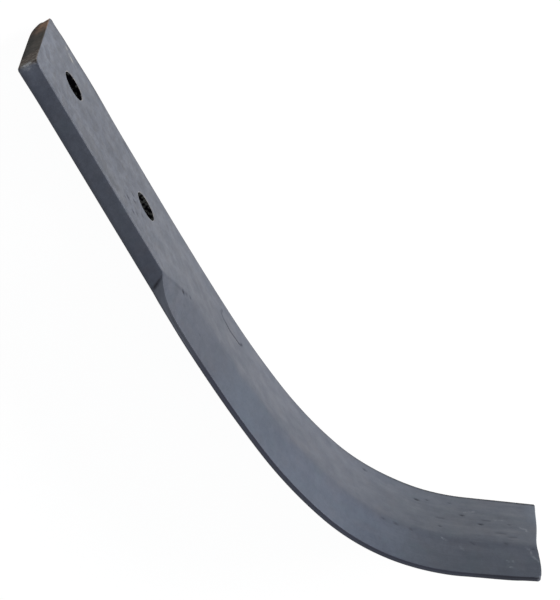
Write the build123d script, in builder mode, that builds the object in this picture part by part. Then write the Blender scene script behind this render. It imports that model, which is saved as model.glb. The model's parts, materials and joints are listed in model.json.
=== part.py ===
from build123d import *
import os

# Rotary tiller blade, forged from one steel bar. Millimetres.
# Frame: the origin is the middle of the two bolt holes on the mounting face.
# +X runs along the shank to the tip, +Y is the concave side that the blade bends to,
# +Z runs across the bar from the blunt spine to the cutting edge.

# Driving dimensions
bar_width = 60.0         # spine to cutting edge
bar_thickness = 8.0
hole_spacing = 57.0      # along the shank
hole_d = 12.5            # for M12 bolts
end_to_hole = 23.25      # mounting end to the first hole, measured at the spine
end_lean = 0.9           # how much longer the shears left the cutting-edge side
spine_to_holes = 28.0
shank_length = 120.0     # straight, from the mounting end to the bend
tail_length = 30.5       # straight, from the bend to the tip
spine_radius = 2.0       # rolled corners of the bar
edge_radius = 1.2        # back corner of the cutting edge
end_corner = 4.0         # rounded corner of the mounting end, on the spine side
tip_corner = 2.0         # and of the tip

# The bend tightens in three arcs: radius at mid-bar, and degrees turned
easing_radius = 525.0
easing_angle = 6.8
middle_radius = 190.0
middle_angle = 11.0
tight_radius = 94.0
tight_angle = 37.6

# The forged edge
bevel_width = 20.0
edge_thickness = 2.0     # the blade is sold blunt and sharpens itself in the soil
run_out = 23.0           # over which the bevel dies out into the shank
run_out_ease = 2.2       # 1 would deepen it evenly, more deepens it earlier
swell = 1.8              # how far forging pushes the edge outwards in the bend
tip_draw = 2.0           # how far the edge comes in again at the tip
tip_hollow = 0.6         # how far the cut tip dips towards the ridge of the bevel
tip_flare = 1.3          # how far the squeezed edge stands past it

# Places that follow from them
end_x = -(hole_spacing / 2 + end_to_hole)
bend_x = end_x + shank_length
spine_z = -spine_to_holes
edge_z = spine_z + bar_width
bevel_depth = bar_thickness - edge_thickness
bends = [(easing_radius, easing_angle), (middle_radius, middle_angle), (tight_radius, tight_angle)]
bend_angle = easing_angle + middle_angle + tight_angle
over = 10.0              # cutters stand this far out of the metal
blank_x = end_x - end_lean - over    # where the bar starts before it is sheared


def bar_line(height, start_x, tail):
    """Draws the bar's line seen from the spine, at a height above the mounting face:
    straight, three tangent arcs and the tail. Returns its start, the point where the
    tight arc begins, and its end."""
    start = at = Vector(start_x, height)
    if start_x < bend_x:
        at = Line(start, (bend_x, height)) @ 1
    heading = 0.0
    for radius, angle in bends:
        tight = at
        towards = Vector(1, 0).rotate(Axis.Z, heading)
        at = JernArc(tight, towards, radius + bar_thickness / 2 - height, angle) @ 1
        heading += angle
    end = Line(at, at + Vector(tail, 0).rotate(Axis.Z, heading)) @ 1
    return start, tight, end


with BuildPart() as blade:
    # The bent bar: its side outline, raised to the full width
    with BuildSketch(Plane.XY.offset(spine_z)):
        with BuildLine():
            back_start, tight, back_tip = bar_line(0, blank_x, tail_length + over)
            front_start, _, front_tip = bar_line(bar_thickness, blank_x, tail_length + over)
            Line(back_start, front_start)
            Line(back_tip, front_tip)
        make_face()
    extrude(amount=bar_width + 3 * swell)

    # The width seen square to the mounting face: flat spine, edge swollen in the bend
    with BuildSketch(Plane.XZ):
        with BuildLine():
            Polyline((bend_x, edge_z), (blank_x, edge_z), (blank_x, spine_z),
                     (back_tip.X, spine_z), (back_tip.X, edge_z - tip_draw))
            Spline((bend_x, edge_z), (tight.X, edge_z + swell), (back_tip.X, edge_z - tip_draw),
                   tangents=[(1, 0), (1, -0.15)])
        make_face()
    extrude(amount=bar_width * 3, both=True, mode=Mode.INTERSECT)

    # Rolled corners of the bar: both along the spine, and the back one along the edge
    along = blade.edges().filter_by(Axis.X).group_by(Axis.Z)
    fillet(along[0], spine_radius)
    fillet(along[-1].sort_by(Axis.Y)[0], edge_radius)

    # The bevel: a wedge swept along the concave face, its section square to the bar
    def wedge(share):
        """Section of the wedge where it has a share of its full size: out along the
        face from the ridge, and down into the bar to the edge."""
        depth = bevel_depth * (1 - (1 - share) ** run_out_ease)
        Polyline((bar_width - bevel_width * share, 0), (bar_width, depth),
                 (bar_width + over, depth), (bar_width + over, -over),
                 (bar_width - bevel_width * share, -over), close=True)

    section = Plane((bend_x, bar_thickness, spine_z), x_dir=(0, 0, 1), z_dir=(1, 0, 0))
    with BuildLine() as face_line:
        bar_line(bar_thickness, bend_x, tail_length + over)
    with BuildSketch(section):
        with BuildLine():
            wedge(1)
        make_face()
    sweep(path=face_line.line, mode=Mode.SUBTRACT)

    # It dies out over the last of the straight shank
    for share in (0.04, 0.25, 0.5, 0.75, 1):
        with BuildSketch(section.offset(-run_out * (1 - share))):
            with BuildLine():
                wedge(share)
            make_face()
    loft(mode=Mode.SUBTRACT)

    # The tip: cropped, with its spine corner rounded and the squeezed edge past the cut
    ridge = bar_width - bevel_width
    flare = (tip_flare + tip_hollow) * (bevel_width + over) / bevel_width - tip_hollow
    cut = front_tip - Vector(over, 0).rotate(Axis.Z, bend_angle)
    tail_plane = Plane((cut.X, cut.Y, spine_z), x_dir=(0, 0, 1),
                       z_dir=Vector(0, 1).rotate(Axis.Z, bend_angle))
    with BuildSketch(tail_plane) as tip_cut:
        with BuildLine():
            Polyline((0, 0), (ridge / 2, 0), (ridge, -tip_hollow), (bar_width + over, flare),
                     (bar_width + over, 3 * over), (-over, 3 * over),
                     (-over, -2 * tip_corner), (0, -2 * tip_corner), close=True)
        make_face()
        fillet(tip_cut.vertices().sort_by_distance((0, 0))[0], tip_corner)
    extrude(amount=bar_thickness * 2, both=True, mode=Mode.SUBTRACT)

    # Two bolt holes through the shank
    with Locations(Plane.XZ):
        with GridLocations(hole_spacing, 0, 2, 1):
            Hole(hole_d / 2)

    # The mounting end: sheared a little out of square, with its spine corner rounded
    far_x = end_x - end_lean * (bar_width + over) / bar_width
    with BuildSketch(Plane.XZ) as end_cut:
        with BuildLine():
            Polyline((end_x, spine_z), (far_x, edge_z + over), (blank_x - over, edge_z + over),
                     (blank_x - over, spine_z - over), (end_x + 2 * end_corner, spine_z - over),
                     (end_x + 2 * end_corner, spine_z), close=True)
        make_face()
        fillet(end_cut.vertices().sort_by_distance((end_x, spine_z))[0], end_corner)
    extrude(amount=bar_thickness * 2, both=True, mode=Mode.SUBTRACT)

os.makedirs("parts", exist_ok=True)
blade.part.label = "blade"
export_step(blade.part, "parts/blade.step")
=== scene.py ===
# %% [markdown]
# # A forged tiller blade
#
# The real object is one steel bar: sheared to length, drilled, forged thin along one edge,
# bent while hot, and painted. This lesson rebuilds its skin as one closed surface worked out
# with whole arrays, then gives it the look of dull paint over forging scale.
# The bar lies on a fixed frame, so every size that the frame knows is read from it.

# %% Load the frame
import json
import math

import bpy
import numpy as np
from mathutils import Euler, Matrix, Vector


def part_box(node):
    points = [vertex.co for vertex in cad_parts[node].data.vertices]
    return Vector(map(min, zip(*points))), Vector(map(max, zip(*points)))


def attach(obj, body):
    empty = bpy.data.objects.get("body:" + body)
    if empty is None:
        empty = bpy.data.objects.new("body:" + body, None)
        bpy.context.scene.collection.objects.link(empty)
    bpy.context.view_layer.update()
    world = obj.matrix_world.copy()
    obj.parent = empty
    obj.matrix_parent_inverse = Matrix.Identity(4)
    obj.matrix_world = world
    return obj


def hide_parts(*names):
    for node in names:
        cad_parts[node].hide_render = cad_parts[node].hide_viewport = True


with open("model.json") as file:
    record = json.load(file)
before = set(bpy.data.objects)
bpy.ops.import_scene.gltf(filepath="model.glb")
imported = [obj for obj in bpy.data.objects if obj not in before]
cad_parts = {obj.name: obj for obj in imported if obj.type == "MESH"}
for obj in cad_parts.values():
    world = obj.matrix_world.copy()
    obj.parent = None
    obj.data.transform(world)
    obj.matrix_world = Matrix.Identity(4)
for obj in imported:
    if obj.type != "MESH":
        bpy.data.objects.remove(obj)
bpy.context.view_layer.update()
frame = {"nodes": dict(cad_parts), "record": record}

MM = 0.001


def in_mm(value):
    """A length in metres, or several, as rounded millimetres for printing."""
    return np.round(np.array(value) / MM, 2)


# %% [markdown]
# ## Sizes of the bar
#
# The two bolt holes give the bar's thickness and the holes' places and size. The width is
# measured on the frame's own points beside the holes, where the bar is plain. The bend can't
# be read off a box, so its radii and angles are given as the smith would set them: three arcs
# that tighten towards the tip, each radius taken at the middle of the bar's thickness. The
# shears left the bar a little longer at the edge than at the spine, where lengths start.

# %% Sizes from the frame, and the bend
mounts = {m["name"]: m for m in frame["record"]["mounts"]}
bores = [mounts["bolt_hole_end"], mounts["bolt_hole_inner"]]
hole_radius = bores[0]["dims"]["r_mm"] * MM
thickness = bores[0]["dims"]["length_mm"] * MM
blade_low, blade_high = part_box("blade")
end_lean = 0.9 * MM
spine_z = blade_low.z
end_x = blade_low.x + end_lean

cad_mesh = frame["nodes"]["blade"].data
cad_points = np.empty(len(cad_mesh.vertices) * 3)
cad_mesh.vertices.foreach_get("co", cad_points)
cad_points = cad_points.reshape(-1, 3)
bar_width = cad_points[cad_points[:, 0] < 0, 2].max() - spine_z

shank_length = 120 * MM
tail_length = 30.5 * MM
bend_arcs = [(525 * MM, 6.8), (190 * MM, 11.0), (94 * MM, 37.6)]
print("bar", in_mm(bar_width), "by", in_mm(thickness), "mm")

# %% [markdown]
# ## The line that the bar follows
#
# A bar bent flatwise is easiest to describe in its own measures: s along the bar from the
# mounting end, w across it from the spine, and h up from the mounting face. One function
# turns those into places. Everything else is then written in s, w and h, as if the bar were
# still straight, which is how a smith thinks of it too.

# %% From bar measures to places
runs = [(shank_length, 0.0)]
runs += [(radius * math.radians(angle), 1 / radius) for radius, angle in bend_arcs]
runs += [(tail_length, 0.0)]
bar_length = sum(length for length, _ in runs)


def bar_line(s):
    """Middle line of the bar at a length s: x, y and heading a. Each run adds its own part:
    a straight run adds (cos a, sin a) times its length, and an arc of curvature k that turns
    by q adds (sin(a + q) - sin a, cos a - cos(a + q)) / k."""
    x = np.full_like(s, end_x)
    y = np.full_like(s, thickness / 2)
    turned = np.zeros_like(s)
    start, heading = 0.0, 0.0
    for number, (length, curve) in enumerate(runs):
        least = -np.inf if number == 0 else 0.0
        most = np.inf if number == len(runs) - 1 else length
        run = np.clip(s - start, least, most)
        if curve:
            x += (np.sin(heading + curve * run) - math.sin(heading)) / curve
            y += (math.cos(heading) - np.cos(heading + curve * run)) / curve
        else:
            x += run * math.cos(heading)
            y += run * math.sin(heading)
        turned += curve * run
        heading += curve * length
        start += length
    return x, y, turned


def to_places(s, w, h):
    """Places of bar measures: from the middle line, h less half the thickness along the
    line's left-hand normal (-sin a, cos a), and w up from the spine."""
    x, y, turned = bar_line(s)
    off = h - thickness / 2
    return np.stack([x - off * np.sin(turned), y + off * np.cos(turned), spine_z + w], -1)


tip_x = to_places(np.array([bar_length]), np.zeros(1), np.zeros(1))[0, 0]
print("bar length", in_mm(bar_length), "mm; tip reaches x", in_mm(tip_x),
      "of", in_mm(blade_high.x))

# %% [markdown]
# ## The forged edge
#
# Forging thins one edge into a blunt bevel on the hollow side. The bevel starts at a point on
# the shank, widens to its full width over a short run-out, and then follows the bend. Metal
# pushed out of the bevel swells the bar's outline in the bend. All of that is three functions:
# how wide the bar is, where the bevel's ridge lies, and how high the hollow side stands.

# %% Outline and bevel
bevel_width = 20 * MM
edge_thickness = 2.4 * MM
full_depth = thickness - edge_thickness
run_out = 23 * MM
run_out_ease = 2.2
swell = 1.8 * MM
tip_draw = 2 * MM
tip_slope = -0.15
ridge_softness = 2.6 * MM
least_softness = 0.15


def cubic(t, y0, y1, m0, m1):
    """Cubic from y0 to y1 as t goes from 0 to 1, with slopes m0 and m1 there."""
    rise = t * t * (3 - 2 * t)
    return y0 + (y1 - y0) * rise + m0 * t * (1 - t) ** 2 - m1 * t * t * (1 - t)


arc_start = sum(length for length, _ in runs[:3])
knots = to_places(np.array([shank_length, arc_start, bar_length + 10 * MM]),
                  np.zeros(3), np.zeros(3))[:, 0]
spans = np.diff(knots)
chords = [swell / spans[0], -(swell + tip_draw) / spans[1]]
middle_slope = 3 * (chords[0] / spans[0] + chords[1] / spans[1]) - tip_slope / spans[1]
middle_slope /= 2 * (1 / spans[0] + 1 / spans[1])


def full_width(s, h):
    """Width at a station: the plain bar's, plus a rise that depends on the place's x alone.
    Two cubics with one slope and one curvature where they meet make the rise."""
    x = to_places(s, 0 * s, h)[..., 0]
    first = cubic(np.clip((x - knots[0]) / spans[0], 0, 1), 0, swell, 0, middle_slope * spans[0])
    second = cubic(np.clip((x - knots[1]) / spans[1], 0, 1), swell, -tip_draw,
                   middle_slope * spans[1], tip_slope * spans[1])
    return bar_width + np.where(x < knots[1], first, second)


def bevel(s):
    """Place of the ridge across the bar, and the bevel's depth at the edge. Over the run-out
    the ridge moves in evenly, and the depth is its full size times 1 - (1 - share)^2.2."""
    share = np.clip((s - shank_length) / run_out + 1, 0, 1)
    depth = full_depth * (1 - (1 - share) ** run_out_ease)
    return bar_width - bevel_width * share, depth


def hollow_side(s, w):
    """Height of the hollow side: the thickness, less the bevel's slope times the distance past
    the ridge. The distance is softened to (x + sqrt(x^2 + k^2)) / 2, which rounds the ridge."""
    ridge, depth = bevel(s)
    past = w - ridge
    softness = ridge_softness * np.clip(depth / full_depth, least_softness, 1)
    soft = (past + np.sqrt(past ** 2 + softness ** 2)) / 2
    across = np.maximum(full_width(s, thickness - depth) - ridge, 1 * MM)
    return thickness - depth / across * soft


widest = full_width(np.linspace(0, bar_length, 900), np.zeros(900)).max()
print("widest", in_mm(widest), "mm")

# %% [markdown]
# ## The two worked sides of a ring
#
# The skin is a ring of points round the section, carried along s. Of its four sides, the
# hollow side and the cutting edge carry the forging, so they change along the bar. The
# arrises are small arcs, because no painted forging has a perfectly sharp edge, and a rounded
# one catches a line of light. The back corner stayed sharper on the shank than in the bend.
# Each point also keeps its outward direction for later dents.

# %% Hollow side and cutting edge
columns = 80
arc_steps = 4
rows = 3 * arc_steps
spine_radius = 2 * MM
shank_arris = 0.45 * MM
bevel_arris = 0.2 * MM
bend_back_radius = 1.0 * MM
shank_back_radius = 0.5 * MM
sharp_until = 122 * MM
sharp_fade = 25 * MM


def arc(start, stop, steps):
    """Angles in radians, evenly from start to stop in degrees."""
    return np.radians(np.linspace(start, stop, steps + 1))


def bell(x, middle, width):
    """A bell shape exp(-((x - middle) / width)^2), 1 at its middle."""
    return np.exp(-((x - middle) / width) ** 2)


def hollow_part(s, ridge, top, slope, arris_radius):
    """Hollow side, spine to edge: columns spread evenly between the two corner arcs. The
    direction tilts from straight up to square to the bevel across the softened ridge."""
    last = top - arris_radius * (1 - np.sin(slope))
    w = spine_radius + (last - spine_radius) * np.linspace(0, 1, columns + 1)[None, :]
    h = hollow_side(s + 0 * w, w)
    tilt = slope * np.clip((w - ridge) / ridge_softness + 0.5, 0, 1)
    return [w, h, np.sin(tilt), np.cos(tilt)]


def edge_part(s, top, slope, arris_radius, start_h):
    """Cutting edge, hollow side to back: the arris, a flat and the back corner. An arc's point
    is its centre plus the radius times (cos, sin) of its angle."""
    angle = (math.pi / 2 - slope) * np.linspace(1, 0, arc_steps + 1)[None, :]
    centre_h = start_h - arris_radius * np.cos(slope)
    arris_h = centre_h + arris_radius * np.sin(angle)
    arris_w = top - arris_radius * (1 - np.cos(angle))
    back_angle = arc(0, -90, arc_steps)[None, :] * np.ones_like(s)
    sharp = bell(np.maximum(s, sharp_until), sharp_until, sharp_fade)
    back_radius = bend_back_radius + (shank_back_radius - bend_back_radius) * sharp
    back_h = back_radius * (1 + np.sin(back_angle))
    back_w = full_width(s + 0 * back_h, back_h) - back_radius * (1 - np.cos(back_angle))
    between = np.linspace(0, 1, arc_steps + 1)[None, 1:-1]
    flat_h = centre_h + (back_h[:, :1] - centre_h) * between
    flat_w = full_width(s + 0 * flat_h, flat_h)
    return [np.hstack([arris_w, flat_w, back_w]),
            np.hstack([arris_h, flat_h, back_h]),
            np.hstack([np.cos(angle), 1 + 0 * flat_h, np.cos(back_angle)]),
            np.hstack([np.sin(angle), 0 * flat_h, np.sin(back_angle)])]


print("hollow side in", columns, "columns, cutting edge in", rows, "steps")

# %% [markdown]
# ## The plain sides, and the whole ring
#
# The back lies on the same columns as the hollow side, and the spine keeps the round corners
# of the rolled bar. Every side always has the same number of points, so the rings join up
# into a clean grid of four-cornered faces.

# %% The ring
def spine_part(s):
    """Spine, back to hollow side: two quarter arcs with a straight part between them."""
    angle = np.concatenate([arc(-90, 0, arc_steps), np.zeros(arc_steps - 1),
                            arc(0, 90, arc_steps)])[None, :] * np.ones_like(s)
    rise = np.concatenate([np.zeros(arc_steps), np.linspace(0, 1, arc_steps + 1),
                           np.ones(arc_steps)])[None, :]
    straight = thickness - 2 * spine_radius
    return [spine_radius * (1 - np.cos(angle)),
            spine_radius * (1 + np.sin(angle)) + straight * rise,
            -np.cos(angle), np.sin(angle)]


def ring(s):
    """Bar measures w and h and directions of the ring at each station, as arrays of stations
    by points. The bevel's slope is the angle whose tangent is its depth over its width."""
    s = s[:, None]
    ridge, depth = bevel(s)
    top = full_width(s, thickness - depth)
    slope = np.arctan2(depth, top - ridge)
    slope[depth <= 0] = 0
    arris_radius = shank_arris + (bevel_arris - shank_arris) * (depth / full_depth)
    hollow = hollow_part(s, ridge, top, slope, arris_radius)
    edge = edge_part(s, top, slope, arris_radius, hollow[1][:, -1:])
    back_end = edge[0][:, -1:]
    back_w = back_end + (spine_radius - back_end) * np.linspace(0, 1, columns + 1)[None, :]
    back = [back_w, 0 * back_w, 0 * back_w, 0 * back_w - 1]

    # Each side leaves its last point to the next side
    return [np.hstack([part[:, :-1] for part in sides])
            for sides in zip(hollow, edge, back, spine_part(s))]


edge_start = columns
back_start = columns + rows
spine_start = 2 * columns + rows
around = 2 * (columns + rows)
print("ring of", around, "points, four sides")

# %% [markdown]
# ## Stations along the bar
#
# The rings are closest where the form changes fastest: at the sheared ends, whose arrises are
# rounded a little, at the bevel's run-out and near the hammered tip. At an end the rings
# shrink inwards along their own directions by r - sqrt(r^2 - d^2), which is the rounding.

# %% Stations
end_radius = 0.5 * MM
round_in = end_radius * (1 - np.cos(arc(0, 90, arc_steps)))
stations = np.concatenate([
    round_in[:-1],
    np.linspace(end_radius, 94 * MM, 124)[:-1],
    np.linspace(94 * MM, 126 * MM, 55)[:-1],
    np.linspace(126 * MM, 284 * MM, 206)[:-1],
    np.linspace(284 * MM, bar_length - end_radius, 42)[:-1],
    (bar_length - round_in)[::-1],
])
ring_w, ring_h, ring_nw, ring_nh = ring(stations)
ring_s = stations[:, None] + 0 * ring_w

to_end = np.minimum(stations, bar_length - stations)
curl = np.clip(1 - to_end / end_radius, 0, 1)
inset = end_radius * (1 - np.sqrt(1 - curl ** 2))[:, None]
ring_w = ring_w - inset * ring_nw
ring_h = ring_h - inset * ring_nh
ring_ns = curl[:, None] * np.where(ring_s < bar_length / 2, -1, 1)
print(len(stations), "stations,", ring_w.size, "points")

# %% [markdown]
# ## The sheared ends
#
# Each end is a grid stretched across the last ring: columns from spine to edge, rows from the
# hollow side to the back. Straight blending would drag the spine's rounding right across the
# face, so its share dies away quickly with the distance from either side.

# %% End grids
across = np.linspace(0, 1, columns + 1)[:, None]
down = np.linspace(0, 1, rows + 1)[None, :]
side_fade = 12


def end_rim():
    """Which of the ring's points lie round the rim of an end grid, columns by rows. The places
    inside the rim are left at 0, to be filled with new points."""
    rim = np.zeros((columns + 1, rows + 1), int)
    rim[:, 0] = np.arange(columns + 1)
    rim[-1] = np.arange(edge_start, back_start + 1)
    rim[:, -1] = np.arange(back_start, spine_start + 1)[::-1]
    rim[0] = np.append(np.arange(spine_start, around), 0)[::-1]
    return rim


def end_grid(station):
    """Points inside the ring at one station, columns by rows. w is the column's own, plus what
    the spine's and the edge's points differ from their corners, times (1 - u)^12 and u^12.
    h runs from the hollow side's to the back's in the same steps as down the two sides."""
    w, h = ring_w[station], ring_h[station]
    rim = end_rim()
    hollow, back, spine, edge = rim[:, 0], rim[:, -1], rim[0], rim[-1]
    near, far = (1 - across) ** side_fade, across ** side_fade
    mean_w = w[hollow][:, None] * (1 - down) + w[back][:, None] * down
    spine_w = w[spine] - (w[0] * (1 - down) + w[spine_start] * down)
    edge_w = w[edge] - (w[edge_start] * (1 - down) + w[back_start] * down)
    steps = [(h[side] - h[side][0]) / (h[side][-1] - h[side][0]) for side in (spine, edge)]
    step = steps[0][None, :] * (1 - across) + steps[1][None, :] * across
    grid_w = mean_w + near * spine_w + far * edge_w
    grid_h = h[hollow][:, None] * (1 - step) + h[back][:, None] * step
    return grid_w[1:-1, 1:-1], grid_h[1:-1, 1:-1]


print("end grids of", columns, "by", rows, "faces")

# %% [markdown]
# ## Joining points into faces
#
# A grid of point numbers becomes faces by shifting it one step each way. The order of the four
# corners decides which way a face looks, and every grid here is handed over so that it looks
# out of the metal. A table collects the points of all the patches in bar measures.

# %% The table of points and the faces
table = []
faces = []
SKIN, MOUNTING_END, TIP_END, HOLE = 0, 1, 2, 3


def add_points(s, w, h, ns, nw, nh, kind):
    """Adds points to the table and gives back their numbers, in the shape of s."""
    first = sum(len(part) for part in table)
    fields = [np.broadcast_to(a, s.shape).ravel() for a in (s, w, h, ns, nw, nh, kind)]
    table.append(np.stack(fields, 1))
    return np.arange(first, first + s.size).reshape(s.shape)


def add_faces(numbers, keep=None):
    """Four-cornered faces of a grid of point numbers: (i, j), (i, j+1), (i+1, j+1), (i+1, j)."""
    corners = [numbers[:-1, :-1], numbers[:-1, 1:], numbers[1:, 1:], numbers[1:, :-1]]
    found = np.stack(corners, -1)
    faces.append(found.reshape(-1, 4) if keep is None else found[keep])


skin = add_points(ring_s, ring_w, ring_h, ring_ns, ring_nw, ring_nh, SKIN)
skin_loop = np.hstack([skin, skin[:, :1]])

for station, end_kind, outward in ((0, MOUNTING_END, -1), (-1, TIP_END, 1)):
    grid_w, grid_h = end_grid(station)
    inner = add_points(np.full_like(grid_w, stations[station]), grid_w, grid_h,
                       outward, 0, 0, end_kind)
    numbers = skin[station][end_rim()]
    numbers[1:-1, 1:-1] = inner
    add_faces(numbers if outward < 0 else numbers.T)
print(sum(len(part) for part in table), "points so far")

# %% [markdown]
# ## The bolt holes
#
# A round hole doesn't fit a square grid. So a square patch of faces is left out round each
# hole, on both sides of the bar, and a tube takes its place: rings that turn from the square
# into the circle, over a small rounded rim, down the wall, and out again the same way.

# %% Loops round a hole
patch_half = 9 * MM
morph_rings = 7
rim_radius = 0.45 * MM
wall_rings = 6
hole_s = [bore["pos_m"][0] - end_x for bore in bores]
hole_w = bores[0]["pos_m"][2] - spine_z


def square_loop(i0, i1, j0, j1):
    """Station and column numbers round a square patch, once round from its first corner."""
    i = [np.arange(i0, i1), np.full(j1 - j0, i1), np.arange(i1, i0, -1), np.full(j1 - j0, i0)]
    j = [np.full(i1 - i0, j0), np.arange(j0, j1), np.full(i1 - i0, j1), np.arange(j1, j0, -1)]
    return np.concatenate(i), np.concatenate(j)


def directions(numbers, centre_s):
    """From a hole's centre to points of the skin: directions s and w, and how far they are."""
    s = ring_s.ravel()[numbers] - centre_s
    w = ring_w.ravel()[numbers] - hole_w
    reach = np.hypot(s, w)
    return s / reach, w / reach, reach


def morph(centre_s, way, height, outward, shares):
    """Loops between the square patch and the round rim. A point's distance from the centre is
    its own reach where the share is 0 and the rim's radius where it is 1."""
    s, w, reach = way
    loops = []
    for share in shares:
        radius = reach + (hole_radius + rim_radius - reach) * share
        loops.append(add_points(centre_s + s * radius, hole_w + w * radius,
                                np.full_like(s, height), 0, 0, outward, SKIN))
    return loops


def wall(centre_s, front, rear):
    """Loops down the wall, with a quarter arc of the rim's radius at each end of it."""
    turn = np.concatenate([arc(90, 0, arc_steps), np.zeros(wall_rings - 1),
                           arc(0, -90, arc_steps)])
    level = np.concatenate([np.ones(arc_steps), np.linspace(1, -1, wall_rings + 1),
                            -np.ones(arc_steps)])
    steps = np.linspace(0, 1, len(turn))
    loops = []
    for angle, side, step in list(zip(turn, level, steps))[1:]:
        s = front[0] * (1 - step) + rear[0] * step
        w = front[1] * (1 - step) + rear[1] * step
        size = np.hypot(s, w)
        s, w = s / size, w / size
        radius = hole_radius + rim_radius * (1 - math.cos(angle))
        height = thickness / 2 + side * (thickness / 2 - rim_radius) + rim_radius * math.sin(angle)
        loops.append(add_points(centre_s + s * radius, hole_w + w * radius, np.full_like(s, height),
                                -s * math.cos(angle), -w * math.cos(angle), math.sin(angle), HOLE))
    return loops


print("holes at s", in_mm(hole_s), "mm")

# %% [markdown]
# ## Setting the holes into the skin
#
# The patch is found on the hollow side, and its mirror image on the back has the same columns
# counted from the other end. The loops of each tube run from the hollow side through to the
# back, so they make one more grid. The skin itself comes last, less the patches.

# %% Holes
keep_face = np.ones((len(stations) - 1, around), bool)
shares = np.linspace(0, 1, morph_rings + 1)

for centre_s in hole_s:
    near_s = np.flatnonzero(np.abs(stations - centre_s) < patch_half)
    near_w = np.flatnonzero(np.abs(ring_w[near_s[0], :columns + 1] - hole_w) < patch_half)
    i0, i1, j0, j1 = near_s[0], near_s[-1], near_w[0], near_w[-1]
    keep_face[i0:i1, j0:j1] = False
    keep_face[i0:i1, spine_start - j1:spine_start - j0] = False

    i, j = square_loop(i0, i1, j0, j1)
    front_loop, rear_loop = skin[i, j], skin[i, spine_start - j]
    front, rear = directions(front_loop, centre_s), directions(rear_loop, centre_s)
    loops = [front_loop]
    loops += morph(centre_s, front, thickness, 1, shares[1:])
    loops += wall(centre_s, front, rear)
    loops += morph(centre_s, rear, 0, -1, shares[-2:0:-1])
    loops += [rear_loop]
    tube = np.stack(loops, 1)
    add_faces(np.vstack([tube, tube[:1]]))
    print("hole at s", in_mm(centre_s), "mm:", len(i), "points round")

add_faces(skin_loop, keep_face)

# %% [markdown]
# ## Waves and hammer marks
#
# A forged and handled bar is never flat. Slow waves come from the rolls, and the hammer left
# short marks towards the tip. They are heights along each point's outward direction, made of
# value noise: random heights on a lattice, blended smoothly, and stretched along the bar as
# rolling leaves them. On the shank's back, the spine, the widest part of the edge and the
# tip, where the bar must keep its full size, the waves are weaker and only go inwards.

# %% Value noise and smooth steps
points = np.concatenate(table)
s, w, h, ns, nw, nh, kind = points.T
on_hollow = np.clip(nh, 0, 1)
on_skin = kind == SKIN
in_hole = kind == HOLE


def waves(cell_s, cell_w, cell_h, seed):
    """Value noise from -1 to 1 in cells of these sizes: a random height at each lattice point,
    blended along each axis by the smooth step 3t^2 - 2t^3."""
    heights = np.random.default_rng(seed).uniform(-1, 1, (256, 128, 32))
    at = [s / cell_s + 8, w / cell_w + 8, h / cell_h + 8]
    low = [np.floor(a).astype(int) for a in at]
    part = [(a - b) ** 2 * (3 - 2 * (a - b)) for a, b in zip(at, low)]
    total = 0
    for corner in range(8):
        step = [corner >> axis & 1 for axis in range(3)]
        weight = 1
        for t, one in zip(part, step):
            weight = weight * (t if one else 1 - t)
        index = [(b + one) % size for b, one, size in zip(low, step, heights.shape)]
        total = total + weight * heights[tuple(index)]
    return total


def smooth(x, low, high):
    """0 below low, 1 above high, and the smooth step 3t^2 - 2t^3 between."""
    t = np.clip((x - low) / (high - low), 0, 1)
    return t * t * (3 - 2 * t)


def ramp(x, low, high):
    """The smooth step for a length x, with its limits in millimetres."""
    return smooth(x, low * MM, high * MM)


def plateau(x, start, full, fade, end):
    """Up from start to full, level to fade and down to end, all in millimetres."""
    return ramp(x, start, full) * (1 - ramp(x, fade, end))


print(len(s), "points to shape")

# %% Waves over the bar
rolled_waves = 0.035 * MM
fine_waves = 0.02 * MM
hammer_marks = 0.09 * MM
hammer_streaks = 0.04 * MM
clearance = 0.02 * MM
tail_share = ramp(s, 215, 275)

relief = rolled_waves * waves(30 * MM, 14 * MM, 12 * MM, 1)
relief += fine_waves * waves(9 * MM, 4 * MM, 6 * MM, 2)
relief += tail_share * hammer_marks * waves(13 * MM, 4 * MM, 8 * MM, 3)
relief += tail_share * hammer_streaks * waves(7 * MM, 1.7 * MM, 6 * MM, 4)

highest = rolled_waves + fine_waves + tail_share * (hammer_marks + hammer_streaks)
on_spine = smooth(-nw, 0, 0.5)
on_back = smooth(-nh, 0, 0.5) * (1 - ramp(s, 122, 150))
on_swell = smooth(nw, 0, 0.5) * smooth(full_width(s, h), bar_width + 0.6 * MM, bar_width + 1.2 * MM)
at_tip = smooth(s, bar_length - 9 * MM, bar_length - 4 * MM)
held = np.clip(on_spine + on_back + on_swell + at_tip, 0, 1)
relief = (relief - (highest + clearance) * held) * (1 - 0.6 * held)
print("waves from", in_mm(relief.min()), "to", in_mm(relief.max()), "mm")

# %% [markdown]
# ## Pits
#
# Scale knocked into the hot steel leaves small pits, drawn out along the bar. Each one is a
# bell shape, and where two overlap the deeper counts. They are few, so their places are given
# one by one instead of scattered.

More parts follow.
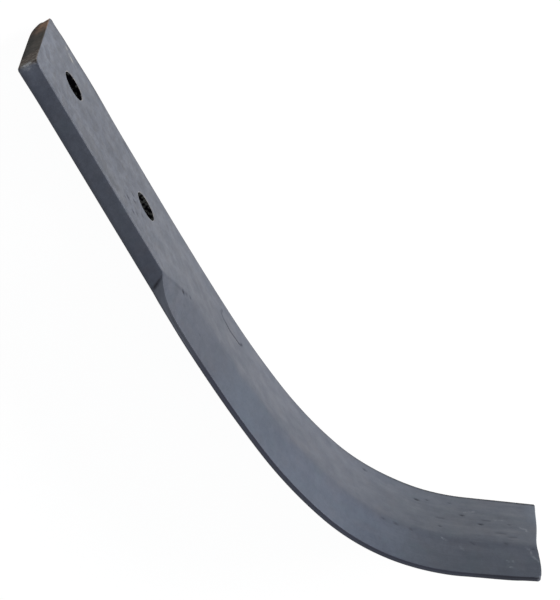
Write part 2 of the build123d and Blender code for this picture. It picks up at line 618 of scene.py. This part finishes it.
# %% Pits: place s and w in millimetres, then width and depth
pits = [
    (113.2, 46.3, 0.9, 0.24), (115.4, 44.4, 0.6, 0.12), (118.0, 41.8, 0.6, 0.18),
    (130.9, 50.3, 0.6, 0.12), (68.5, 46.1, 1.0, 0.18), (72.4, 40.6, 0.9, 0.18),
    (75.5, 47.5, 0.7, 0.14), (73.1, 51.1, 1.0, 0.18), (71.0, 37.3, 0.7, 0.14),
    (79.1, 41.5, 0.8, 0.14), (66.5, 50.0, 0.7, 0.14), (234.8, 7.4, 0.8, 0.20),
    (244.6, 42.2, 0.8, 0.12), (250.6, 41.9, 0.9, 0.15), (257.5, 41.9, 0.8, 0.13),
    (260.0, 13.1, 1.0, 0.26), (264.8, 10.9, 0.6, 0.14), (270.2, 32.9, 0.7, 0.16),
    (274.7, 9.2, 0.6, 0.12), (280.1, 19.7, 0.8, 0.24), (287.6, 26.3, 0.9, 0.26),
    (297.7, 40.9, 0.8, 0.12), (308.8, 42.7, 0.6, 0.14), (299.5, 24.0, 0.7, 0.12),
]
pit_stretch = 1.6
pitted = np.zeros_like(s)
for pit_s, pit_w, width, depth in pits:
    off = np.hypot((s / MM - pit_s) / (pit_stretch * width), (w / MM - pit_w) / width)
    pitted = np.maximum(pitted, depth * np.exp(-2 * off ** 2))
print(len(pits), "pits, the deepest", round(pitted.max(), 2), "mm")

# %% [markdown]
# ## The lap, scratches and seams
#
# One fine lap is left from a fold that was rolled shut: deepest in the middle, and hooked at
# its end. Handling scratched the paint near the tip, and a scratch throws up a fine burr, so
# it stands a little proud. A few dark seams follow the rolling. All are lines of straight
# pieces, and the height falls away from a line as exp(-(distance / width)^2).

# %% Lap, scratches and seams, in places s and w in millimetres
lap = [(140.0, 8.5), (139.3, 12.2), (141.4, 14.9), (143.9, 15.8), (146.8, 17.0), (148.9, 16.9),
       (151.1, 16.6), (153.4, 16.6), (154.6, 15.8), (155.3, 13.9)]
scratches = [
    [(280.9, 16.4), (285.4, 14.8)], [(293.8, 21.1), (298.0, 20.5)],
    [(304.0, 25.9), (306.4, 26.6), (306.8, 28.4)], [(279.4, 46.0), (279.9, 47.2)],
    [(298.1, 51.4), (300.7, 51.2)], [(298.9, 54.4), (300.7, 55.0)],
    [(306.4, 41.9), (307.9, 44.2), (307.6, 46.7)], [(308.2, 46.6), (310.4, 49.6)],
    [(270.8, 41.8), (273.0, 43.0)],
]
seams = [
    [(294.1, 32.8), (297.8, 32.9)], [(283.0, 42.1), (284.8, 43.4)], [(288.9, 22.6), (291.6, 22.4)],
    [(269.0, 25.4), (271.8, 25.0)], [(299.4, 35.6), (302.0, 35.2)],
    [(59.0, 4.8), (61.0, 5.6), (63.8, 6.4)],
]
lap_width, scratch_width, seam_width = 0.42, 0.4, 0.5
lap_depth, scratch_burr, seam_depth = 0.2 * MM, 0.06 * MM, 0.1 * MM


def from_line(line):
    """Distance in millimetres from a line of straight pieces through places s and w: the least
    over the pieces, each from its nearest point, held between the piece's ends."""
    least = np.full_like(s, np.inf)
    for (s0, w0), (s1, w1) in zip(line[:-1], line[1:]):
        along = (s / MM - s0) * (s1 - s0) + (w / MM - w0) * (w1 - w0)
        along = np.clip(along / ((s1 - s0) ** 2 + (w1 - w0) ** 2), 0, 1)
        off = np.hypot(s / MM - s0 - along * (s1 - s0), w / MM - w0 - along * (w1 - w0))
        least = np.minimum(least, off)
    return least


def near_lines(lines, width):
    """1 on the nearest of some lines on the hollow side, and 0 well away from them all."""
    return bell(np.min([from_line(line) for line in lines], 0), 0, width) * on_hollow


folded = near_lines([lap], lap_width) * (0.55 + 0.45 * ramp(s, 140, 144))
scratched = near_lines(scratches, scratch_width)
seamed = near_lines(seams, seam_width)
relief -= MM * pitted * on_hollow + lap_depth * folded + seam_depth * seamed
relief += scratch_burr * scratched * (1 - held)
print("relief from", in_mm(relief.min()), "to", in_mm(relief.max()), "mm")

# %% [markdown]
# ## Where the forging starts
#
# The dies pressed the bevel from one place on, and left a step there across the side of the
# bar: a fine dark notch that leans with the die's corner. Under the arris past it runs a
# shallow furrow. Both are cut into the relief, by the distance from a line across the side.
# The squeezed metal past the notch also bulges over the side, which moves the bar's edge out.

# %% The notch, the furrow and the bulge
notch_depth = 0.28 * MM
furrow_depth = 0.15 * MM
furrow_below = 1.1 * MM
furrow_width = 0.4 * MM
bulge_height = 0.55 * MM

on_side = smooth(nw, 0.3, 0.8) * on_skin
notch_line = 98.3 * MM + 0.55 * (thickness - h)
past_notch = s - notch_line
notch_width = 0.26 * MM + 0.09 * (thickness - h)
notch = bell(past_notch, 0, notch_width) * on_side * ramp(h, 0.6, 2)
notch = notch * (1 - 0.4 * ramp(h, 4, 6))

ridge_place, edge_depth = bevel(s)
under_arris = thickness - edge_depth - h
furrow = bell(under_arris, furrow_below, furrow_width) * on_side
furrow = furrow * plateau(s, 105, 118, 122, 136)
pressed = ramp(past_notch, 0.4, 1.2) * (1 - ramp(s, 120, 146)) * on_side

near_edge = smooth(w, bar_width - 8 * MM, bar_width - 1 * MM)
bulge = ramp(past_notch, 0, 6) * (1 - ramp(s, 124, 150))
bulge = bulge_height * bulge * near_edge
relief -= notch_depth * notch + furrow_depth * furrow
print("notch from s", in_mm(notch_line.min()), "to", in_mm(notch_line.max()), "mm")

# %% [markdown]
# ## Ends that were sheared, not sawn
#
# Shears don't cut square. They left the mounting end longer at the edge and rounded its
# corners. The cropped tip dips towards the ridge, and the squeezed bevel stands past it.
# These are moves along s that fade into the bar over a few millimetres.

# %% Moves along the bar
end_fade = 12 * MM
end_corner = 4.6 * MM
edge_corner = 1.6 * MM + 0.24 * h
tip_corner = 2.2 * MM
tip_edge_corner = 2.6 * MM
tip_reach = 0.28 * MM
tip_dip = 0.7 * MM
tip_flare = 1.1 * MM


def corner_cut(distance, radius):
    """How far a corner of this radius stands back from a square end, at a distance from the
    side: r - sqrt(r^2 - (r - d)^2)."""
    short = np.clip(radius - distance, 0, radius)
    return radius - np.sqrt(radius ** 2 - short ** 2)


start_fade = np.clip(1 - s / end_fade, 0, 1) ** 2
tip_fade = np.clip(1 - (bar_length - s) / end_fade, 0, 1) ** 2
from_edge = np.maximum(full_width(s, h) - w, 0)

lean = end_lean * w / bar_width * (1 - 0.35 * h / thickness)
end_move = corner_cut(w, end_corner) + corner_cut(from_edge, edge_corner) - lean
dip = tip_dip * ramp(w, 20, 38)
flare = (tip_flare + tip_dip) * ramp(w, 38, 55)
tip_move = tip_reach + flare - dip
tip_move -= corner_cut(w, tip_corner) + corner_cut(from_edge, tip_edge_corner)
moved_s = s + end_move * start_fade + tip_move * tip_fade
print("ends moved by", in_mm((moved_s - s).min()), "to", in_mm((moved_s - s).max()), "mm")

# %% [markdown]
# ## What the shears and the hammer pushed aside
#
# At the mounting end the blow drew the spine in, rolled its back corner over and pushed the
# back corner at the edge out. At the tip the edge came in a little. On the hollow side the
# spine's corner stands proud in three long, low places where the rolls left more metal. These
# are moves along w and h.

# %% Moves across the bar
spine_draw = 1.6 * MM
draw_width = 14 * MM
tip_edge_draw = 0.5 * MM
push_out = 1.15 * MM
push_length = 10 * MM
roll_height = 5 * MM
roll_width = 7 * MM
roll_length = 9 * MM
roll_power = 1.6

drawn_in = spine_draw * (1 - ramp(s, 3, 12)) * np.clip(1 - w / draw_width, 0, 1) ** 2
tip_drawn = smooth(s, bar_length - 12 * MM, bar_length) * ramp(w, 45, 60)
pushed_out = push_out * bell(s, 0, push_length) * near_edge
pushed_out = pushed_out * (1 - ramp(h, 2, 6.5))
moved_w = w + drawn_in - tip_edge_draw * tip_drawn + bulge + pushed_out

# Where the spine's corner stands proud: place, length and height in millimetres
lips = [(34, 13, 0.33), (133, 22, 0.35), (246, 22, 0.45)]
lip = sum(height * bell(s / MM, place, length) for place, length, height in lips)
lip = MM * lip * (1 - ramp(w, 1, 9)) * ramp(h, 3, 7)
rolled = roll_height * np.exp(-(w / roll_width) ** roll_power)
rolled = rolled * np.clip(1 - s / roll_length, 0, 1) ** 2
moved_h = h + rolled * (1 - h / thickness) + lip
print("edge pushed out by", in_mm(pushed_out.max()), "mm, spine drawn in by",
      in_mm(drawn_in.max()), "mm")

# %% [markdown]
# ## From measures to places
#
# Instead of the bar's waves, the end faces get fine lines that run with the cut over coarser
# lumps, and lie a little deeper so that nothing stands past the end. The hole walls keep less
# than half of the waves. Then every point goes to its place, pushed by its relief.

# %% Places of all the points
fine_shear = 0.05 * MM
coarse_shear = 0.09 * MM
wall_share = 0.4
shear_lines = fine_shear * waves(9 * MM, 0.9 * MM, 20 * MM, 5)
shear_lines += coarse_shear * waves(9 * MM, 4 * MM, 3 * MM, 6)
is_end = (kind == MOUNTING_END) | (kind == TIP_END)
relief = np.where(is_end, shear_lines - (fine_shear + coarse_shear), relief)
relief = np.where(in_hole, wall_share * relief, relief)

places = to_places(moved_s + relief * ns, moved_w + relief * nw, moved_h + relief * nh)
low, high = places.min(0), places.max(0)
print("skin box in mm:", in_mm([*low, *high]))

# %% [markdown]
# ## The mesh
#
# All the points and faces go into one mesh. Points of the skin inside the left-out patches
# belong to no face, so they are dropped first. The volume, summed over the faces, tells at
# once whether they all look outwards: it would be wrong or negative if they didn't.

# %% Make the piece
def add_object(name, data):
    """Puts an object into the scene."""
    made = bpy.data.objects.new(name, data)
    bpy.context.scene.collection.objects.link(made)
    return made


quads = np.concatenate(faces)
used = np.unique(quads)
renumber = np.full(len(places), -1)
renumber[used] = np.arange(len(used))
quads = renumber[quads]
places = places[used]

mesh = bpy.data.meshes.new("forged_blade")
mesh.from_pydata(places.tolist(), [], quads.tolist())
mesh.polygons.foreach_set("use_smooth", np.ones(len(quads), bool))
mesh.validate()
mesh.update()
forged_blade = add_object("forged_blade", mesh)

a, b, c, d = (places[quads[:, k]] for k in range(4))
volume = (np.cross(b, c) * a).sum() / 6 + (np.cross(c, d) * a).sum() / 6
print(len(places), "points,", len(quads), "faces,", round(volume / MM ** 3), "cubic mm")

# %% [markdown]
# ## Marks for the paint
#
# Wear follows the form: arrises rub bare, pits hold dirt, the side just past the notch, where the
# dies pressed, is lighter, the sheared end was never painted and is bashed at its edge, and the
# spine has gone brown. Painted shade lies in the notch, the furrow and the ridge's crease, and
# along the end's back arris, and a painted highlight on the end's rounded corner at the edge. The
# mesh knows those places, so it stores a number from 0 to 1 for each kind of wear or painted light
# at each point, and the material only has to read it.

# %% Where the paint is worn, bare or dirty
def store(name, values):
    """Stores one or three numbers per point under a name that the material can read."""
    form, field = ("FLOAT", "value") if values.ndim == 1 else ("FLOAT_VECTOR", "vector")
    stored = mesh.attributes.new(name, form, "POINT")
    stored.data.foreach_set(field, values[used].astype(np.float32).ravel())


edge_tilt = np.degrees(np.arctan2(np.abs(nw), np.abs(nh)))
rounded = smooth(edge_tilt, 22, 40) * smooth(90 - edge_tilt, 5, 25) * on_skin
rounded = rounded * np.where(nw > 0, 1 - ramp(s, 110, 130), 1)
end_arris = smooth(np.abs(ns), 0.05, 0.5) * on_skin

on_end = (kind == MOUNTING_END) | (on_skin & (s < 0.3 * MM))
# The end's corner at the edge: bashed, with a painted highlight on its rounding.
bashed_and_highlight = bell(from_edge, 1.6 * MM, 1.3 * MM) * on_end
bashed_and_highlight = bashed_and_highlight * plateau(h, 1, 2, 5, 6.5)
# Painted shade along the end's rolled-over back arris.
back_arris = on_end * (1 - ramp(h, 1.8, 4)) * ramp(from_edge, 6, 14)

# Painted shade in the crease where the bevel starts on the shank.
ridge_crease_shade = bell(w, ridge_place, 0.9 * MM) * on_skin * on_hollow
ridge_crease_shade = ridge_crease_shade * plateau(s, 98, 112, 113, 118)
# Dirt in the pits, the lap and the seams; painted shade in the notch, the furrow and the ridge's
# crease.
dirt_and_crease_shade = 4 * pitted * on_hollow + folded + 0.35 * seamed + notch
dirt_and_crease_shade = dirt_and_crease_shade + 0.35 * furrow + 0.3 * ridge_crease_shade

spine_dark = 0.4 + 0.6 * (1 - ramp(s, 20, 50)) + 0.5 * tail_share
spine_band = spine_dark * (1 - ramp(w, 2, 3.6)) * on_hollow
rubbed_place = near_lines([[(13.6, 6.2), (15.6, 7.4), (18.6, 9.2)]], 0.8)
patchy_share = (1 - 0.75 * ramp(s, 60, 150)) * (1 - 0.6 * smooth(nw, 0.3, 0.8))

store("bare", on_end * ramp(from_edge, 0.7, 1.6))
store("worn", np.clip(rounded + end_arris, 0, 1))
store("rim", in_hole * smooth(nh, 0.1, 0.8))
store("pitted", np.clip(dirt_and_crease_shade, 0, 1))
# The scratched mark also holds the painted highlight on the end's rounded corner.
store("scratched", np.clip(0.5 * scratched + bashed_and_highlight, 0, 1))
store("hole", (in_hole & (np.abs(nh) < 0.5)).astype(float))
store("pressed", pressed)
store("back_arris", back_arris)
store("spine", np.maximum(smooth(-nw, 0.1, 0.6), spine_band) * on_skin)
store("rubbed", rubbed_place * on_skin)
store("tail", tail_share)
store("patchy", patchy_share)
print("marks:", [m.name for m in mesh.attributes if not m.is_internal])

# %% [markdown]
# ## A tint that changes along the bar
#
# The paint's tone isn't one colour along the bar. It is bluest and lightest on the bevel in the
# middle of the bend, a painted reflection of a bright light there, and a little lighter on the rest
# of the hollow side there. It is darker in painted shade towards the tip, and darkest in painted
# shade on the squeezed edge and just under the ridge near the tip. It is also lighter along the
# spine and at both ends, and darker between the bolt holes. The tint is red, green and blue factors
# on the paint's colour: 1, plus each place's share times its factors. The bar's measures are
# stored too, for patterns that follow the bend.

# %% Tint
on_bevel = ramp(w - ridge_place, -3, 5) * smooth(nh, 0.3, 0.6) * on_skin
mid_bend = plateau(s, 135, 165, 235, 270)
late_bend = plateau(s, 175, 200, 240, 262)
near_tip = smooth(s, bar_length - 6.5 * MM, bar_length - 2 * MM) * on_hollow
between_holes = plateau(s, 28, 36, 62, 74) * on_hollow
spine_side = ramp(s, 92, 112) * (1 - ramp(w, 9, 19)) * on_hollow
end_side = (1 - ramp(s, 5, 13)) * ramp(w, 8, 18) * on_hollow
below_ridge = ramp(s, 182, 200) * bell(w, 46 * MM, 4 * MM) * on_bevel
under_ridge_shade = bell(w - ridge_place, 2.2 * MM, 1.6 * MM) * on_bevel
edge_strip_shade = on_side * ramp(s, 116, 134)
# Each row is a share and its red, green and blue factors: painted reflection on the mid-bend bevel,
# painted shade at the tail, under the ridge and on the edge strip, and tone elsewhere.
tone_and_light_tints = [
    (on_bevel * mid_bend, (0.08, 0.17, 0.20)),
    (on_hollow * (1 - on_bevel) * mid_bend, (0.09, 0.09, 0.09)),
    (on_bevel * late_bend, (0.14, 0.11, 0.10)),
    (on_bevel * ramp(s, 250, 280), (-0.16, -0.16, -0.15)),
    (under_ridge_shade * tail_share, (-0.16, -0.15, -0.10)),
    (near_tip * (1 - ramp(w, 16, 26)), (0.24, 0.28, 0.26)),
    (between_holes * bell(w, hole_w, 12 * MM), (-0.24, -0.22, -0.18)),
    (between_holes * bell(w, 53 * MM, 5 * MM), (-0.34, -0.34, -0.33)),
    (spine_side, (0.20, 0.19, 0.17)),
    (end_side, (0.18, 0.18, 0.17)),
    (below_ridge, (0.13, 0.11, 0.10)),
    (tail_share * on_hollow, (-0.11, -0.07, -0.07)),
    (edge_strip_shade, (-0.05, -0.07, -0.01)),
    (edge_strip_shade * tail_share, (-0.20, -0.18, -0.17)),
    (edge_strip_shade * ramp(s, 275, 300), (-0.30, -0.28, -0.30)),
    (edge_strip_shade * bell(under_arris, 0.5 * MM, 0.5 * MM), (-0.42, -0.43, -0.38)),
]
tone_and_light_tint = np.ones((len(s), 3))
for share, factors in tone_and_light_tints:
    tone_and_light_tint += share[:, None] * np.array(factors)
store("bar_place", np.stack([s, w, h], 1))
store("tone_and_light_tint", tone_and_light_tint)
print("tint from", np.round(tone_and_light_tint.min(0), 2), "to", np.round(tone_and_light_tint.max(0), 2))

# %% [markdown]
# ## The paint
#
# Thin blue-grey paint lies over the forging scale. It is darker than it looks: seen at a low
# angle its satin surface picks up the pale room, so the shank shines light grey while the
# side that faces the viewer stays dark. One material does all of it, built up in layers like
# the real finish. Each helper below adds a node and gives back its output, so that the layers
# read like sums.

# %% Helpers that read marks and make patterns
paint = bpy.data.materials.new("dull_blue_grey_paint")
paint.use_nodes = True
nodes = paint.node_tree.nodes
shader = nodes["Principled BSDF"]


def wire(value, socket):
    """Joins an output to a socket, or sets the socket if the value is a plain one."""
    if isinstance(value, bpy.types.NodeSocket):
        socket.id_data.links.new(value, socket)
    else:
        socket.default_value = value


def add_node(form, inputs, tree=paint.node_tree, **settings):
    """Adds a node with its settings, wires or sets the inputs named, and gives its outputs."""
    made = tree.nodes.new("ShaderNode" + form)
    for name, value in settings.items():
        setattr(made, name, value)
    for name, value in inputs.items():
        wire(value, made.inputs[name])
    return made.outputs


def stored_at(name):
    """Reads what was stored with the points under a name."""
    return add_node("Attribute", {}, attribute_name=name)


def mark(name):
    """Reads a number stored with the points."""
    return stored_at(name)["Fac"]


def noise(vector, scale, detail=3.0, rough=0.5):
    """Soft random pattern from 0 to 1, about 1 / scale metres to a blotch."""
    wanted = {"Vector": vector, "Scale": scale, "Detail": detail, "Roughness": rough}
    return add_node("TexNoise", wanted)["Fac"]


def stretched(vector, along, across_bar, through):
    """The same coordinates times three factors: the smaller one is, the longer the pattern."""
    return add_node("Mapping", {"Vector": vector, "Scale": (along, across_bar, through)})["Vector"]


def levels(value, low, high, to_low=0.0, to_high=1.0):
    """Maps low to to_low and high to to_high in a smooth step, and holds outside."""
    wanted = {"Value": value, "From Min": low, "From Max": high, "To Min": to_low, "To Max": to_high}
    return add_node("MapRange", wanted, interpolation_type="SMOOTHSTEP")["Result"]


print("helpers for patterns, starting from", len(nodes), "nodes")

# %% Sums, blends and colours
def arithmetic(kind, one, two):
    """One step of arithmetic."""
    return add_node("Math", {0: one, 1: two}, operation=kind)[0]


def times(one, two):
    """Product of two numbers."""
    return arithmetic("MULTIPLY", one, two)


def blend(share, one, two, way="MIX"):
    """Colour one where the share is 0, colour two where it is 1."""
    return add_node("Mix", {0: share, 6: one, 7: two}, data_type="RGBA", blend_type=way)[2]


def shade(red, green, blue):
    """A colour given as it shows on a screen, from 0 to 255, in the light's own numbers."""
    parts = [part / 255 for part in (red, green, blue)]
    light = [p / 12.92 if p < 0.04045 else ((p + 0.055) / 1.055) ** 2.4 for p in parts]
    return (*light, 1.0)


print("paint white is", shade(255, 255, 255)[:3], "in the light's own numbers")

# %% [markdown]
# ## Colour of the paint
#
# The base drifts slowly between two blue-greys. Over it lie thin patches: light blotches and
# a fine mottle where scale grins through, dirt, a warm and a cool cast, and streaks along the
# bar near the tip. Patterns that should follow the bend read the bar's own measures. The
# others read the object's coordinates. The stored tint, with its painted reflection and shade,
# multiplies the result.

# %% Layers of the paint
room = add_node("TexCoord", {})["Object"]
along_bar = stored_at("bar_place")["Vector"]

drift = levels(noise(room, 30, 2), 0.35, 0.65)
colour = blend(drift, shade(56, 61, 74), shade(63, 68, 80))
patchy = mark("patchy")
blotch = levels(noise(stretched(along_bar, 260, 150, 260), 1, 4, 0.6), 0.42, 0.6)
colour = blend(times(blotch, times(patchy, 0.58)), colour, shade(83, 88, 101))
mottle = levels(noise(stretched(along_bar, 800, 480, 800), 1, 3, 0.7), 0.4, 0.66)
colour = blend(times(mottle, times(patchy, 0.34)), colour, shade(86, 91, 101))
dirt = levels(noise(stretched(along_bar, 480, 240, 480), 1, 3, 0.65), 0.5, 0.66)
colour = blend(times(dirt, times(patchy, 0.45)), colour, shade(40, 42, 49))
warm = levels(noise(room, 110, 4), 0.5, 0.66)
colour = blend(times(warm, 0.15), colour, shade(73, 70, 77))
cool = levels(noise(room, 117, 4), 0.52, 0.68)
colour = blend(times(cool, 0.18), colour, shade(62, 74, 82))
streak = levels(noise(stretched(along_bar, 110, 1100, 400), 1, 3, 0.6), 0.5, 0.7)
streak = times(streak, levels(mark("tail"), 0, 1, 0.04, 0.17))
colour = blend(streak, colour, shade(84, 88, 97))
# The tint paints a reflection and shade along the bar, and changes the tone elsewhere.
colour = blend(1.0, colour, stored_at("tone_and_light_tint")["Vector"], "MULTIPLY")
colour = blend(times(mark("pressed"), 0.6), colour, shade(94, 98, 108))
print(len(nodes), "nodes in the layers of paint")

# %% [markdown]
# ## Wear on the paint
#
# Scratches break up into bright specks, and so does a painted highlight on the rounded corner
# of the end at the edge. The spine is brown with rust where the paint rubbed off against other
# blades, one spot near the end is rubbed pale, pits are filled with dirt, the notch, the furrow and
# the ridge's crease get painted shade, and the arrises and the rims of the holes are chipped. Each
# is its stored mark times a noise that makes it ragged, because wear never ends in a clean line.

# %% Scratches, rust, dirt and chips
# Scratches near the tip and the bashed end corner, with a painted highlight on that corner's
# rounding.
broken = levels(noise(room, 750, 3, 0.6), 0.42, 0.58, 0.15, 1.0)
scuffs_and_highlight = times(mark("scratched"), broken)
colour = blend(times(scuffs_and_highlight, 0.7), colour, shade(138, 143, 150))
ragged = levels(noise(room, 700, 3, 0.6), 0.35, 0.6, 0.5, 1.0)
spine_share = times(mark("spine"), ragged)
colour = blend(spine_share, colour, shade(32, 28, 26))
rubbed = times(mark("rubbed"), levels(noise(room, 420, 3, 0.6), 0.38, 0.52))
colour = blend(times(rubbed, 0.7), colour, shade(168, 163, 156))
# Dirt in the pits, the lap and the seams, and painted shade in the notch, the furrow and the ridge's
# crease.
colour = blend(mark("pitted"), colour, shade(26, 26, 33))
chip = levels(noise(room, 900, 4, 0.6), 0.5, 0.66)
colour = blend(times(times(mark("worn"), chip), 0.4), colour, shade(112, 113, 118))
rim_wear = times(mark("rim"), levels(noise(room, 500, 3), 0.35, 0.6, 0.2, 0.7))
colour = blend(rim_wear, colour, shade(150, 146, 142))
print(len(nodes), "nodes with the wear")

# %% [markdown]
# ## The bare end and the drilled walls
#
# The mounting end was sheared after the bar was rolled and never painted, so it is dull brown
# steel: rusty towards the spine, with pale scuffs towards the edge, a lighter band there painted
# where it faces the light, and painted shade along the back arris. The hole walls are the only bare
# metal that still shines, so they alone are metallic. Their colour is painted near black for the
# shade inside the holes, broken by bright chatter marks that mirror the room, and the second hole
# is given more of the bright marks.

# %% Bare steel
place_s, place_w = add_node("SeparateXYZ", {0: along_bar})[:2]
rust_spread = levels(noise(room, 320, 4, 0.6), 0.35, 0.65)
near_spine = levels(place_w, 0.010, 0.024, 1.0, 0.0)
scuff = levels(noise(stretched(room, 1, 1, 2.5), 380, 3, 0.6), 0.53, 0.64)
by_the_edge = levels(place_w, 0.040, 0.044, 0.0, 0.7)
raw = blend(rust_spread, shade(60, 56, 52), shade(72, 67, 61))
rusty = levels(noise(room, 400, 3, 0.6), 0.25, 0.6, 0.3, 1.0)
raw = blend(times(near_spine, rusty), raw, shade(139, 110, 90))
# A lighter band near the edge: painted light where the end's lower part faces the light.
raw = blend(levels(place_w, 0.044, 0.047, 0.0, 0.45), raw, shade(108, 96, 88))
raw = blend(times(scuff, by_the_edge), raw, shade(160, 154, 144))
# Pale scratches, and the painted highlight on the end's rounded corner.
raw = blend(times(scuffs_and_highlight, 0.9), raw, shade(184, 188, 192))
# Painted shade along the rolled-over back arris.
raw = blend(times(mark("back_arris"), ragged), raw, shade(18, 17, 16))
bare_share = mark("bare")
colour = blend(bare_share, colour, raw)

# The walls are painted near black for the shade inside the holes, broken by bright chatter marks;
# the second hole gets more of them.
chatter = noise(stretched(room, 1, 1, 0.5), 700, 3)
chatter = arithmetic("ADD", chatter, levels(place_s, 0.03, 0.07, 0.0, 0.11))
hole_wall_shade_and_marks = blend(levels(chatter, 0.54, 0.66, 0.0, 0.6), shade(9, 9, 14), shade(96, 98, 96))
colour = blend(mark("hole"), colour, hole_wall_shade_and_marks)
wire(mark("hole"), shader.inputs["Metallic"])
wire(colour, shader.inputs["Base Color"])
print(len(nodes), "nodes with the bare steel")

# %% [markdown]
# ## Sheen and fine grain
#
# The paint is satin, and duller where it is bare, drilled, dirty or rusty. Three patterns too
# fine for the mesh give it grain: the scale's own grain, the paint's soft peel, and scoring
# along the bar near the tip. They only tilt the light: the shapes themselves are in the mesh.

# %% Roughness and bump
sheen = levels(noise(room, 120, 3), 0.3, 0.7, 0.42, 0.52)
dull = arithmetic("MAXIMUM", mark("hole"), mark("pitted"))
dull = arithmetic("MAXIMUM", bare_share, dull)
dull = arithmetic("MAXIMUM", dull, spine_share)
wire(arithmetic("ADD", sheen, times(dull, 0.5)), shader.inputs["Roughness"])
shader.inputs["Specular IOR Level"].default_value = 0.4

grain = noise(room, 1400, 3, 0.55)
peel = noise(room, 260, 3, 0.55)
scored = noise(stretched(along_bar, 110, 1600, 700), 1, 2, 0.5)
lift = arithmetic("ADD", times(grain, 0.45), times(peel, 1.6))
lift = arithmetic("ADD", lift, times(scored, levels(mark("tail"), 0, 1, 0.05, 0.3)))
bump = add_node("Bump", {"Strength": 0.7, "Distance": 0.07 * MM, "Height": lift})
wire(bump["Normal"], shader.inputs["Normal"])
mesh.materials.append(paint)
print(len(nodes), "nodes in the paint")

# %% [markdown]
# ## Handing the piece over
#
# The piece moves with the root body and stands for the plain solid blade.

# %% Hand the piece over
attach(forged_blade, "root")
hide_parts("blade")
print("piece handed over:", forged_blade.name)

# %% [markdown]
# ## Floor and world
#
# The loose blade stands on its spine on a pale floor. The floor and the world show as white to
# the camera and in reflections, while the diffuse light stays at a plain level. A thin part of
# the floor's own colour is kept, so that a soft shadow shows.

# %% Floor
floor_half = 6.0
floor_white_share = 0.85


def show_white(tree, dim, white, white_share):
    """Mixes a dim shader with a plain white one, by the kind of ray that looks: the white's
    share is given for camera, glossy and transmission rays, and is 0 for all others."""
    path = add_node("LightPath", {}, tree)
    looks = path["Is Camera Ray"]
    for name in ("Is Glossy Ray", "Is Transmission Ray"):
        looks = add_node("Math", {0: looks, 1: path[name]}, tree, operation="MAXIMUM")[0]
    part = add_node("Math", {0: looks, 1: white_share}, tree, operation="MULTIPLY")[0]
    return add_node("MixShader", {0: part, 1: dim, 2: white}, tree)[0]


floor_mesh = bpy.data.meshes.new("floor")
floor_corners = [(-1, -1), (1, -1), (1, 1), (-1, 1)]
floor_points = [(x * floor_half, y * floor_half, spine_z) for x, y in floor_corners]
floor_mesh.from_pydata(floor_points, [], [(0, 1, 2, 3)])
floor = add_object("floor", floor_mesh)
pale = bpy.data.materials.new("pale_floor")
pale.use_nodes = True
floor_tree = pale.node_tree
matt = floor_tree.nodes["Principled BSDF"]
matt.inputs["Base Color"].default_value = (0.85, 0.85, 0.85, 1)
matt.inputs["Roughness"].default_value = 0.9
glow = add_node("Emission", {"Strength": 1.12}, floor_tree)[0]
floor_look = show_white(floor_tree, matt.outputs[0], glow, floor_white_share)
wire(floor_look, floor_tree.nodes["Material Output"].inputs[0])
floor_mesh.materials.append(pale)
print("floor at z", in_mm(spine_z), "mm")

# %% World
world = bpy.data.worlds.new("pale_room")
bpy.context.scene.world = world
world.use_nodes = True
room_tree = world.node_tree
dim_room = room_tree.nodes["Background"]
dim_room.inputs["Color"].default_value = (0.9, 0.95, 1.0, 1)
dim_room.inputs["Strength"].default_value = 0.25
white_room = add_node("Background", {}, room_tree)[0]
room_look = show_white(room_tree, dim_room.outputs[0], white_room, 1.0)
wire(room_look, room_tree.nodes["World Output"].inputs[0])
print("world light", dim_room.inputs["Strength"].default_value)

# %% [markdown]
# ## Lamps
#
# Two soft lamps light the blade. A large low one beyond the hollow side rakes along the
# shank, as a window would, and brings out the bevel, the pits and the notch. A weak one
# overhead fills the shadows.

# %% Lamps
def soft_lamp(name, place, aim, width, power):
    """A square lamp of this width at a place, turned to look at the aim."""
    lamp = bpy.data.lights.new(name, "AREA")
    lamp.size = width
    lamp.energy = power
    holder = add_object(name, lamp)
    holder.location = place
    towards = np.array(aim) - np.array(place)
    across_floor = math.hypot(towards[0], towards[1])
    turn = math.atan2(towards[1], towards[0]) - math.pi / 2
    holder.rotation_euler = Euler((math.atan2(across_floor, -towards[2]), 0, turn))


middle = (0.09, 0.03, 0.0)
soft_lamp("window_light", (0.3, 2.3, 0.8), middle, 1.4, 66)
soft_lamp("room_light", (-0.6, 0.2, 2.6), middle, 2.0, 4)
print("two lamps")

# %% [markdown]
# ## Camera
#
# The photo looks down on the standing blade from its hollow side, from some 1.3 metres, with
# a long lens. The place, the turn and the lens were fitted to the blade's outline.

# %% Camera
camera_turn = (-21.9525917, 1.5581933, 61.1527464)
camera = add_object("camera", bpy.data.cameras.new("camera"))
camera.location = (-0.34013, 0.31080, 1.26103)
camera.rotation_euler = Euler([math.radians(angle) for angle in camera_turn])
camera.data.lens = 203.79
camera.data.sensor_width = 36
bpy.context.scene.camera = camera
bpy.context.scene.view_settings.view_transform = "Standard"
print("camera", round(camera.location.length, 3), "m away")
